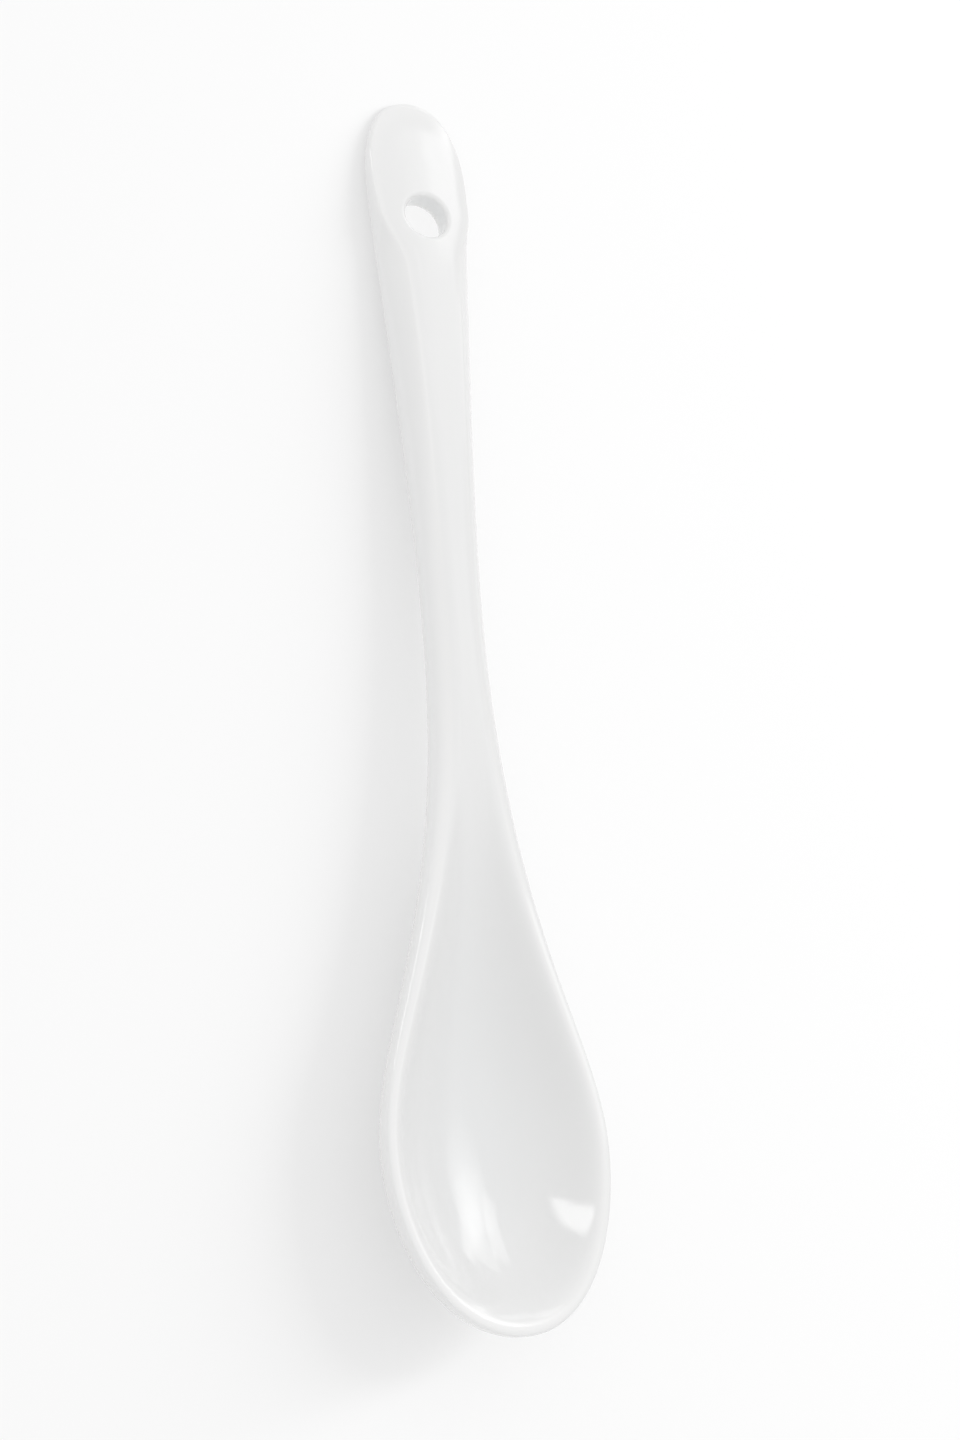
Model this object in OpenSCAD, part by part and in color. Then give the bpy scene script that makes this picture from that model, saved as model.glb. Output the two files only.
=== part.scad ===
// Tasting spoon in glazed porcelain, lying bowl up as it rests on a table.
// Units are millimetres. The table is z = 0 and +Z leaves the mouth of the bowl.
// +Y runs along the handle from the bowl tip to the hanging hole. The origin is under the middle.
// The body is one skin: half ribs run from the centre line over the rim and back under the spoon.
// Four named lengths of that skin meet face to face on plane cross sections.

/* [Whole spoon] */
// Length from the bowl tip to the handle end
spoon_length = 135; // [110:0.5:170]
// Height of the widest line over the table at the widest place of the bowl
edge_height = 8.8; // [7:0.1:12]
// Fall of the widest line towards the handle end, per millimetre of length
edge_fall = 0.0715; // [0.03:0.0005:0.1]
// Rise of the bowl tip above the straight widest line
tip_rise = 1; // [0:0.1:4]

/* [Bowl] */
// Width of the bowl
bowl_width = 25.6; // [18:0.1:40]
// Distance of the widest place from the tip
widest_from_tip = 19; // [12:0.5:30]
// Reach of the blunt tip to each side
tip_bluntness = 8.7; // [4:0.1:12]
// Fullness of the sides on the tip side of the widest place
side_fullness = 8.3; // [4:0.1:14]
// Depth of the hollow below the rim crest
bowl_depth = 6.8; // [3:0.1:9]
// Distance from the tip at which the hollow has run out
hollow_end_from_tip = 64; // [50:0.5:72]
// Thickness of the bowl floor
bowl_wall = 3; // [2:0.1:5]
// Inset of the rim crest from the outline
rim_inset = 0.8; // [0.4:0.05:2]
// Height of the rim crest over the widest line
rim_height = 0.7; // [0.3:0.05:2]
// Share of the half width over which the bowl floor stays low
floor_spread = 0.66; // [0.4:0.01:0.8]
// Share of the half width over which the inner side of the rim is rounded
rim_rounding = 0.15; // [0.08:0.01:0.3]
// Flatness of the top and the outer side of the rim, large is square
rim_flatness = 0.85; // [0.4:0.01:0.95]
// Share of the drop over which the outer wall stays upright under the rim
wall_upright = 0.35; // [0.2:0.01:0.6]
// Share of the half width over which the underside of the bowl stays low
under_spread = 0.7; // [0.5:0.01:0.8]

/* [Neck] */
// Width of the neck
neck_width = 6.8; // [5:0.1:10]
// Distance of the narrowest place from the tip
neck_from_tip = 76; // [68:0.5:84]
// Length of the pull from the shoulders of the bowl into the neck
neck_pull = 35; // [20:0.5:44]
// Thickness of the neck
neck_thickness = 4.75; // [3.5:0.05:7]
// Inset of the front edge at the neck
neck_inset = 1.6; // [0.8:0.05:2.5]
// Height of the front edge over the widest line at the neck
neck_front = 2; // [1:0.05:3]
// Height of the rounded front of the neck over its edges
neck_crown = 0.35; // [0:0.05:0.8]

/* [Grip] */
// Distance of the thickest place of the grip from the tip
grip_from_tip = 106; // [92:0.5:112]
// Thickness of the grip
grip_thickness = 5; // [3.5:0.05:8]
// Height of the edges of the flat front over the widest line at the grip
grip_front = 2.85; // [1:0.05:4]
// Height of the faint crown of the flat front over its edges
grip_crown = 0.12; // [0:0.01:0.6]
// Distance from the tip at which the flat front is most inset
land_from_tip = 115; // [112:0.5:120]
// Distance from the tip at which the crease has swung out to the edge
land_end_from_tip = 122; // [121:0.5:125]
// Inset of the flat front from the outline at the grip
land_inset = 2.2; // [0.8:0.05:3]
// Softness of the crease along the flat front, small is crisp
crease_softness = 0.08; // [0.05:0.01:0.6]
// Rounding of the flanks below the crease, small is flat
grip_flank = 0.38; // [0.1:0.01:0.6]

/* [Handle end] */
// Width of the handle end
end_width = 11.8; // [8:0.1:18]
// Distance of the widest place of the handle end from the tip
end_from_tip = 125.5; // [123:0.5:130]
// Reach of the blunt handle end to each side
end_bluntness = 3.9; // [2:0.1:6]
// Fullness of the sides of the handle end
end_fullness = 5.7; // [3:0.1:8]
// Thickness of the handle end before its front slopes down
end_thickness = 4.35; // [3.5:0.05:7]
// Inset of the front edge at the handle end
end_inset = 0.4; // [0.3:0.05:2]
// Softness of the front edge of the handle end, small is crisp
end_crease = 0.35; // [0.1:0.01:0.6]
// Rounding of the flank of the handle end, small is flat
end_flank = 0.3; // [0.1:0.01:0.6]
// Height of the front edge over the widest line before the slope
end_front = 2.4; // [1:0.05:3.5]
// Height of the domed front of the handle end over its edges
end_crown = 0.75; // [0:0.05:1.5]
// Slope of the front down to the handle end, per millimetre of length
end_slope = 0.12; // [0:0.01:0.2]
// Distance from the tip at which the slope begins
slope_from_tip = 112; // [108:0.5:116]
// Distance from the tip at which the slope is full
slope_full_from_tip = 118; // [116:0.5:124]

/* [Hanging hole] */
// Diameter of the hanging hole
hole_diameter = 5; // [3:0.1:7]
// Distance of the hole from the handle end
hole_from_end = 14.25; // [11:0.25:18]
// Lean of the hole axis towards the handle end, in degrees
hole_lean = 12; // [0:0.5:16]
// Rounding of the front lip of the hole
front_lip = 0.5; // [0.2:0.05:1]
// Rounding of the back lip of the hole
back_lip = 1.5; // [0.2:0.05:2]
// Length of the straight wall in front of the middle of the body
wall_before_middle = 1.2; // [0.5:0.05:2]
// Length of the straight wall behind the middle of the body
wall_behind_middle = 0.3; // [0.1:0.05:2]

/* [Where the pieces meet] */
// Distance from the tip of the plane between bowl and neck
bowl_meets_neck = 60; // [50:0.5:66]
// Distance from the tip of the plane between neck and stem
neck_meets_stem = 86; // [80:0.5:92]
// Distance from the tip of the plane between stem and handle end
stem_meets_end = 112; // [108:0.5:114]

/* [Fineness] */
// Steps round each half of the bowl tip
tip_steps = 18; // [8:1:30]
// Steps round each half of the handle end
cap_steps = 14; // [8:1:24]
// Steps across the front of a half rib
front_steps = 9; // [4:1:14]
// Steps round the rim of a half rib
rim_steps = 5; // [3:1:8]
// Spacing of the cross ribs along the body
rib_spacing = 2.7; // [1.5:0.1:6]

/* [Hidden] */
w_bowl = bowl_width / 2;
w_neck = neck_width / 2;
w_end = end_width / 2;
y_wide = widest_from_tip;
y_neck = neck_from_tip;
y_end = end_from_tip;
hole_at = spoon_length - hole_from_end;
hole_radius = hole_diameter / 2;
back_steps = front_steps + rim_steps;
half_count = front_steps + rim_steps + back_steps;
ring_count = 2 * half_count;

// Share of a cubic handle that draws nearly a quarter ellipse
round_share = 0.55;
// Shares of the half width for the front and the underside of the handle
handle_run = 0.35;
handle_under = 0.6;

// Sweep and steps of a rounded lip of the hole in degrees, and the flare beyond it
lip_sweep = 60;
lip_steps = 4;
flare_length = 2;
hole_facets = 96;

// Handle lengths of the outline that keep its curvature even through its widest and narrowest places
shoulder_pull = side_fullness * sqrt((w_bowl - w_neck) / (w_bowl - tip_bluntness));
stem_pull = neck_pull * sqrt((w_end - w_neck) / (w_bowl - w_neck));
end_pull = end_fullness * sqrt((w_end - w_neck) / (w_end - end_bluntness));

glaze_white = [0.95, 0.95, 0.94];
glaze_shade = [0.9, 0.91, 0.92];

// Point on a cubic curve with four control values
function cubic(a, b, c, d, t) =
    let (u = 1 - t)
    u * u * u * a + 3 * u * u * t * b + 3 * u * t * t * c + t * t * t * d;

// Smooth step from 0 at a to 1 at b
function ease(a, b, y) =
    let (t = min(1, max(0, (y - a) / (b - a))))
    t * t * (3 - 2 * t);

// Value along the spoon from its values at bowl, neck, grip and handle end
function along(bowl, neck, grip, end, y, y_grip = grip_from_tip, y_last = end_from_tip) =
    bowl + (neck - bowl) * ease(y_wide, y_neck, y)
    + (grip - neck) * ease(y_neck, y_grip, y)
    + (end - grip) * ease(y_grip, y_last, y);

// Value along the spoon that changes most where the flat front is most inset
function by_land(bowl, neck, land, end, y) =
    along(bowl, neck, land, end, y, land_from_tip, land_end_from_tip);

// Fall of the front towards the handle end, its slope coming in along a smooth step
function end_fall(y) =
    let (
        run = slope_full_from_tip - slope_from_tip,
        t = min(1, max(0, (y - slope_from_tip) / run))
    )
    end_slope * (run * t * t * t * (1 - t / 2) + max(0, y - slope_full_from_tip));

// Parameter at which a rising cubic reaches a wanted value, found by halving
function reach(a, b, c, d, want, low = 0, high = 1, left = 36) =
    let (mid = (low + high) / 2)
    left == 0 ? mid
    : cubic(a, b, c, d, mid) < want ? reach(a, b, c, d, want, mid, high, left - 1)
    : reach(a, b, c, d, want, low, mid, left - 1);

// Half width of the outline between the widest places of the bowl and of the handle end
function half_width(y) =
    y <= y_neck
    ? let (t = reach(y_wide, y_wide + shoulder_pull, y_neck - neck_pull, y_neck, y))
      cubic(w_bowl, w_bowl, w_neck, w_neck, t)
    : let (t = reach(y_neck, y_neck + stem_pull, y_end - end_pull, y_end, y))
      cubic(w_neck, w_neck, w_end, w_end, t);

// Outline of the bowl tip and of the handle end as points [half width, distance from the tip]
function tip_point(t) = [
    cubic(0, tip_bluntness, w_bowl, w_bowl, t),
    cubic(0, 0, y_wide - side_fullness, y_wide, t)];
function cap_point(t) = [
    cubic(w_end, w_end, end_bluntness, 0, t),
    cubic(y_end, y_end + end_fullness, spoon_length, spoon_length, t)];

// Height of the widest line over the table
function edge_line(y) =
    edge_height - edge_fall * (y - y_wide)
    + tip_rise * pow(max(0, y_wide - y) / y_wide, 2);

// Half rib of reach r at distance y, from front to underside: [distance out, height over the widest line]
// The front gains the height lean for each millimetre out, and the rim leaves the crest along the front.
function half_rib(r, y, lean = 0) =
    let (
        inset = by_land(rim_inset, neck_inset, land_inset, end_inset, y),
        crease = by_land(rim_flatness, round_share, crease_softness, end_crease, y),
        rounding = by_land(rim_flatness, round_share, grip_flank, end_flank, y),
        front = along(rim_height, neck_front, grip_front, end_front, y) - end_fall(y),
        thick = along(bowl_wall, neck_thickness, grip_thickness, end_thickness, y) - end_fall(y),
        floor_run = along(floor_spread, handle_run, handle_run, handle_run, y),
        rim_run = along(rim_rounding, handle_run, handle_run, handle_run, y),
        upright = along(wall_upright, round_share, round_share, round_share, y),
        under_run = along(under_spread, handle_under, handle_under, handle_under, y),
        crown = along(0, neck_crown, grip_crown, end_crown, y),
        low = front + crown - bowl_depth * (1 - ease(y_wide, hollow_end_from_tip, y)),
        under = low - thick,
        crest = r - inset,
        floor_at = floor_run * crest,
        shoulder_at = crest - rim_run * crest,
        turn_at = crest + crease * inset,
        edge = front + lean * crest,
        shoulder = front + crown + lean * shoulder_at,
        turn = edge + (edge - shoulder) / (crest - shoulder_at) * (turn_at - crest)
    )
    concat(
        [for (i = [0:front_steps - 1]) let (t = i / front_steps) [
            cubic(0, floor_at, shoulder_at, crest, t),
            cubic(low, low + lean * floor_at, shoulder, edge, t)]],
        [for (i = [0:rim_steps - 1]) let (t = i / rim_steps) [
            cubic(crest, turn_at, r, r, t),
            cubic(edge, turn, rounding * edge, 0, t)]],
        [for (i = [0:back_steps]) let (t = i / back_steps) [
            cubic(r, r, under_run * r, 0, t),
            cubic(0, upright * under, under, under, t)]]);

// Point of a half rib set out from its foot on the centre line towards [ux, uy]
function set_out(p, foot, ux, uy) =
    let (y = foot + p[0] * uy)
    [p[0] * ux, y - spoon_length / 2, p[1] + edge_line(y)];

// Half rib that points straight out to one side, side is 1 or -1
function cross_half(y, side) = [for (p = half_rib(half_width(y), y)) set_out(p, y, side, 0)];

// Half rib that fans out from a foot on the centre line to an outline point, without its two ends
function fan_half(foot, target, side) =
    let (
        dy = target[1] - foot,
        r = norm([target[0], dy]),
        rib = half_rib(r, foot, -end_slope * max(0, dy) / r)
    )
    [for (i = [1:half_count - 1]) set_out(rib[i], foot, side * target[0] / r, dy / r)];

// Closed ring at distance y: out over the right side, back over the left side
function ring(y) =
    let (right = cross_half(y, 1), left = cross_half(y, -1))
    concat(right, [for (i = [half_count - 1:-1:1]) left[i]]);

// Even stations between two distances
function stations(from, to) =
    let (n = max(2, ceil((to - from) / rib_spacing)))
    [for (i = [0:n]) from + (to - from) * i / n];

// Faces with their turning sense kept or reversed
function turned(faces, flip) = flip ? [for (f = faces) [f[2], f[1], f[0]]] : faces;

// Faces between the rings of a body, the rings being numbered one after another
function bands(count) = [
    for (k = [0:count - 2]) for (i = [0:ring_count - 1])
    let (a = k * ring_count, b = a + ring_count, j = (i + 1) % ring_count)
    each [[a + i, b + i, b + j], [a + i, b + j, a + j]]];

// Faces that close a ring starting at vertex a, each front point joined to the back point under it
function plug(a, flip) =
    let (
        chains = [for (side = [1, -1]) [for (i = [0:back_steps]) [
            a + (ring_count + side * i) % ring_count,
            a + half_count - side * i]]],
        quads = [for (i = [0:back_steps - 1]) each [
            [chains[0][i][0], chains[0][i + 1][0], chains[0][i + 1][1], chains[0][i][1]],
            [chains[1][i + 1][0], chains[1][i][0], chains[1][i][1], chains[1][i + 1][1]]]],
        faces = [for (q = quads) for (f = [[q[0], q[1], q[2]], [q[0], q[2], q[3]]])
            if (f[0] != f[1] && f[1] != f[2] && f[2] != f[0]) f]
    )
    turned(faces, flip);

// Faces of a fan that closes the ring at vertex base, its ribs being numbered on from vertex first
function fan_faces(base, first, count, flip) =
    let (
        m = half_count - 1,
        right = [for (i = [1:m]) base + i],
        left = [for (i = [1:m]) base + ring_count - i],
        ribs = [for (k = [0:count - 1]) [for (i = [0:m - 1]) first + k * m + i]],
        rows = concat([right], ribs, [left]),
        faces = [for (k = [0:count]) let (a = rows[k], b = rows[k + 1]) each concat(
            [[base, b[0], a[0]], [base + half_count, a[m - 1], b[m - 1]]],
            [for (i = [0:m - 2]) each [[a[i], b[i], b[i + 1]], [a[i], b[i + 1], a[i + 1]]]])]
    )
    turned(faces, flip);

// Length of body between two planes
module plain_length(from, to) {
    ys = stations(from, to);
    polyhedron(
        points = [for (y = ys) each ring(y)],
        faces = concat(
            bands(len(ys)),
            plug(0, false),
            plug((len(ys) - 1) * ring_count, true)),
        convexity = 6);
}

// Length of body with a plane at one end and a fan of ribs round the other, at the start or at the finish
module ended_length(ys, fan, fan_at_start) {
    last = (len(ys) - 1) * ring_count;
    polyhedron(
        points = concat([for (y = ys) each ring(y)], [for (rib = fan) each rib]),
        faces = concat(
            bands(len(ys)),
            fan_faces(fan_at_start ? 0 : last, last + ring_count, len(fan), fan_at_start),
            plug(fan_at_start ? last : 0, fan_at_start)),
        convexity = 8);
}

// Bowl before its foot is ground flat: the ribs of the fan go round the tip from right to left
module bowl_skin() {
    fan = concat(
        [for (k = [1:tip_steps]) fan_half(y_wide, tip_point(1 - k / tip_steps), 1)],
        [for (k = [1:tip_steps - 1]) fan_half(y_wide, tip_point(k / tip_steps), -1)]);
    ended_length(stations(y_wide, bowl_meets_neck), fan, true);
}

// Handle end before its hole is made: the ribs of the fan go round the end from right to left
module end_skin() {
    fan = concat(
        [for (k = [1:cap_steps]) fan_half(y_end, cap_point(k / cap_steps), 1)],
        [for (k = [1:cap_steps - 1]) fan_half(y_end, cap_point(1 - k / cap_steps), -1)]);
    ended_length(stations(stem_meets_end, y_end), fan, false);
}

// Profile of half of the hole from the middle of the body outwards: [radius, distance along the axis]
// The straight wall ends in a rounded lip, and a flare beyond the lip leaves the body.
function hole_profile(wall, lip) =
    let (
        arc = [for (k = [0:lip_steps]) let (a = lip_sweep * k / lip_steps) [
            hole_radius + lip * (1 - cos(a)),
            wall + lip * sin(a)]],
        flare = arc[lip_steps] + flare_length * [sin(lip_sweep), cos(lip_sweep)]
    )
    concat(arc, [flare, [0, flare[1]]]);

// Room of the hanging hole
module hole_room() {
    before = hole_profile(wall_before_middle, front_lip);
    behind = hole_profile(wall_behind_middle, back_lip);
    lower = [for (i = [len(behind) - 1:-1:0]) [behind[i][0], -behind[i][1]]];
    rotate_extrude($fn = hole_facets) polygon(concat(lower, before));
}

// Middle of the body thickness on the centre line at the hole
function hole_height() =
    let (rib = half_rib(half_width(hole_at), hole_at))
    edge_line(hole_at) + (rib[0][1] + rib[half_count][1]) / 2;

// Everything below the table, taken off where the spoon rests
module below_table() {
    translate([-bowl_width, -spoon_length, -edge_height])
        cube([2 * bowl_width, 2 * spoon_length, edge_height]);
}

module bowl() {
    color(glaze_white) difference() {
        bowl_skin();
        below_table();
    }
}

module neck() {
    color(glaze_shade) plain_length(bowl_meets_neck, neck_meets_stem);
}

module stem() {
    color(glaze_white) plain_length(neck_meets_stem, stem_meets_end);
}

module handle_end() {
    color(glaze_shade) difference() {
        end_skin();
        below_table();
        translate([0, hole_at - spoon_length / 2, hole_height()])
            rotate([-hole_lean, 0, 0])
            hole_room();
    }
}

bowl();
neck();
stem();
handle_end();
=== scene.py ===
"""Looks of a white glazed porcelain tasting spoon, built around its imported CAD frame.

The spoon lies bowl up on the floor z = 0 with +Y along the handle, as the CAD frame has it.
Sizes of the spoon are millimetres, and distances along it are measured from the bowl tip.
Its mesh is handed to Blender in metres. The glaze, the studio and the camera are in metres.
"""

import logging
import math
from dataclasses import dataclass, field
from enum import Enum

import bmesh
import bpy
import numpy as np
from mathutils import Matrix, Vector

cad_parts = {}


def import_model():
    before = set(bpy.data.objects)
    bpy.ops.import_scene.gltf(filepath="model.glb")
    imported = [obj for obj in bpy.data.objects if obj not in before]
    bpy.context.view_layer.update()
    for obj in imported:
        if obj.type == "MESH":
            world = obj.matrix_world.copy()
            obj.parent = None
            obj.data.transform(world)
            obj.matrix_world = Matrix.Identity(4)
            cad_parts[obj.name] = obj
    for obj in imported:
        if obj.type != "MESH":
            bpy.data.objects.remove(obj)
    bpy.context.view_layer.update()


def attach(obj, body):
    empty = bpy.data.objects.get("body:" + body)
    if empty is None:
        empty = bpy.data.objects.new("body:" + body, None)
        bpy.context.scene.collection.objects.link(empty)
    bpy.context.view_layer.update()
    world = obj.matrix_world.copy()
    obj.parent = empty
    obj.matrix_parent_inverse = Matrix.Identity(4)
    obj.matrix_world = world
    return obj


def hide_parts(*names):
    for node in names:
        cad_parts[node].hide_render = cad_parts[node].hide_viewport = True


Array = np.ndarray
Numbers = Array | float
Point = tuple[float, float, float]
Colour = tuple[float, float, float]
Opaque = tuple[float, float, float, float]
Socket = bpy.types.NodeSocket

LOG = logging.getLogger("tasting_spoon")
MILLIMETRE = 0.001
HALVINGS = 44
MIRROR = np.array([-1.0, 1.0, 1.0])
PAPER_WHITE: Colour = (1.0, 1.0, 1.0)


class Face(Enum):
    """The two open faces of the body: the one that holds the hollow, and the underside."""

    FRONT = "front"
    BACK = "back"


class Reach(Enum):
    """What a lamp does: it is only mirrored in gloss, or it only lights without being mirrored."""

    GLOSS = "gloss"
    SOFT = "soft"


class Layer(Enum):
    """Point attributes that steer the glaze."""

    # lighter crests: partly thinner glaze, partly a painted highlight along rim, crease and hole lips
    POOLED = "pooled_glaze"
    THIN = "thin_glaze"
    BARE = "bare_foot"


class Place(Enum):
    """Coordinates that a node reads: those of its object, or the direction of a look into the room."""

    ON_OBJECT = "Object"
    DIRECTION = "Generated"


class Mix(Enum):
    """What a Mix node mixes: its data type, and the numbers of its sockets under, over and result."""

    NUMBER = ("FLOAT", 2, 3, 0)
    COLOUR = ("RGBA", 6, 7, 2)


class Join(Enum):
    """How values are joined into one."""

    PRODUCT = "MULTIPLY"
    SUM = "ADD"


@dataclass(frozen=True)
class Span:
    """Range of a value, with how softly it begins and ends."""

    low: float
    high: float
    low_blur: float = 0.0
    high_blur: float = 0.0

    @classmethod
    def about(cls, middle: float, width: float) -> "Span":
        """Range of one width about a middle."""
        return cls(middle - width / 2, middle + width / 2)


def cubic(a: Numbers, b: Numbers, c: Numbers, d: Numbers, t: Numbers) -> Array:
    """Cubic curve of four control values: u^3 a + 3 u^2 t b + 3 u t^2 c + t^3 d with u = 1 - t.

    Args:
        a, b, c, d: the control values; the curve runs from a to d.
        t: curve parameter from 0 to 1.

    Returns:
        The values of the curve.
    """
    u = 1 - t
    return u**3 * a + 3 * u**2 * t * b + 3 * u * t**2 * c + t**3 * d


def ease(start: float, stop: float, y: Numbers) -> Array:
    """Smooth step 3 t^2 - 2 t^3, where t runs from 0 at start to 1 at stop.

    Args:
        start, stop: where the step begins and ends.
        y: places at which it is wanted.

    Returns:
        Values from 0 to 1.
    """
    t = np.clip((np.asarray(y, float) - start) / (stop - start), 0, 1)
    return t * t * (3 - 2 * t)


def reach_parameter(a: Numbers, b: Numbers, c: Numbers, d: Numbers, wanted: Array) -> Array:
    """Parameter at which a rising cubic takes the wanted values, by halving the interval.

    Args:
        a, b, c, d: control values of the rising cubic.
        wanted: values to reach.

    Returns:
        Parameters from 0 to 1, shaped as wanted.
    """
    low = np.zeros_like(wanted)
    high = np.ones_like(wanted)
    for _ in range(HALVINGS):
        middle = (low + high) / 2
        below = cubic(a, b, c, d, middle) < wanted
        low = np.where(below, middle, low)
        high = np.where(below, high, middle)
    return (low + high) / 2


@dataclass(frozen=True)
class RibLaws:
    """What shapes a half rib at its foot, as arrays over the ribs.

    In millimetres, inset is the distance of the crest from the outline. Heights over the widest line are
    front at the crest, low at the centre line and under at the underside, and crown is how far the
    shoulder stands over the crest. The rest are shares: floor_run and rim_run of the way to the crest
    that follow the floor and the rim, crease of the inset that goes on along the front, rounding and
    upright of the height that the rim and the flank stand upright, and under_run of the way back that
    stays level.
    """

    inset: Array
    crease: Array
    rounding: Array
    front: Array
    floor_run: Array
    rim_run: Array
    upright: Array
    under_run: Array
    crown: Array
    low: Array
    under: Array


@dataclass(frozen=True)
class BowlSizes:
    """Egg-shaped bowl with its hollow and flat-topped rim."""

    half_width: float = 12.8
    widest_at: float = 19.0
    tip_bluntness: float = 8.7
    side_fullness: float = 8.3
    depth: float = 6.8
    hollow_ends_at: float = 64.0
    wall: float = 3.0
    rim_inset: float = 0.8
    rim_height: float = 0.7
    floor_spread: float = 0.66
    rim_rounding: float = 0.15
    rim_flatness: float = 0.85
    wall_upright: float = 0.35
    under_spread: float = 0.7


@dataclass(frozen=True)
class NeckSizes:
    """Slim neck in which the hollow has run out."""

    half_width: float = 3.4
    narrowest_at: float = 76.0
    pull: float = 35.0
    thickness: float = 4.75
    inset: float = 1.6
    front: float = 2.0
    crown: float = 0.35


@dataclass(frozen=True)
class GripSizes:
    """Grip with its flat front and the crease along it; the land is where that front is narrowest."""

    thickest_at: float = 106.0
    thickness: float = 5.0
    front: float = 2.85
    land_at: float = 115.0
    land_ends_at: float = 122.0
    land_inset: float = 2.2
    crease_softness: float = 0.08
    flank_rounding: float = 0.38
    crown: float = 0.12
    front_run: float = 0.35
    under_run: float = 0.6


@dataclass(frozen=True)
class EndSizes:
    """Rounded handle end, whose front slopes down and thins it to its edge."""

    half_width: float = 5.9
    widest_at: float = 125.5
    bluntness: float = 3.9
    fullness: float = 5.7
    thickness: float = 4.35
    inset: float = 0.4
    crease_softness: float = 0.35
    flank_rounding: float = 0.3
    front: float = 2.4
    crown: float = 0.75
    slope: float = 0.12
    slope_starts_at: float = 112.0
    slope_full_at: float = 118.0


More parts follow.
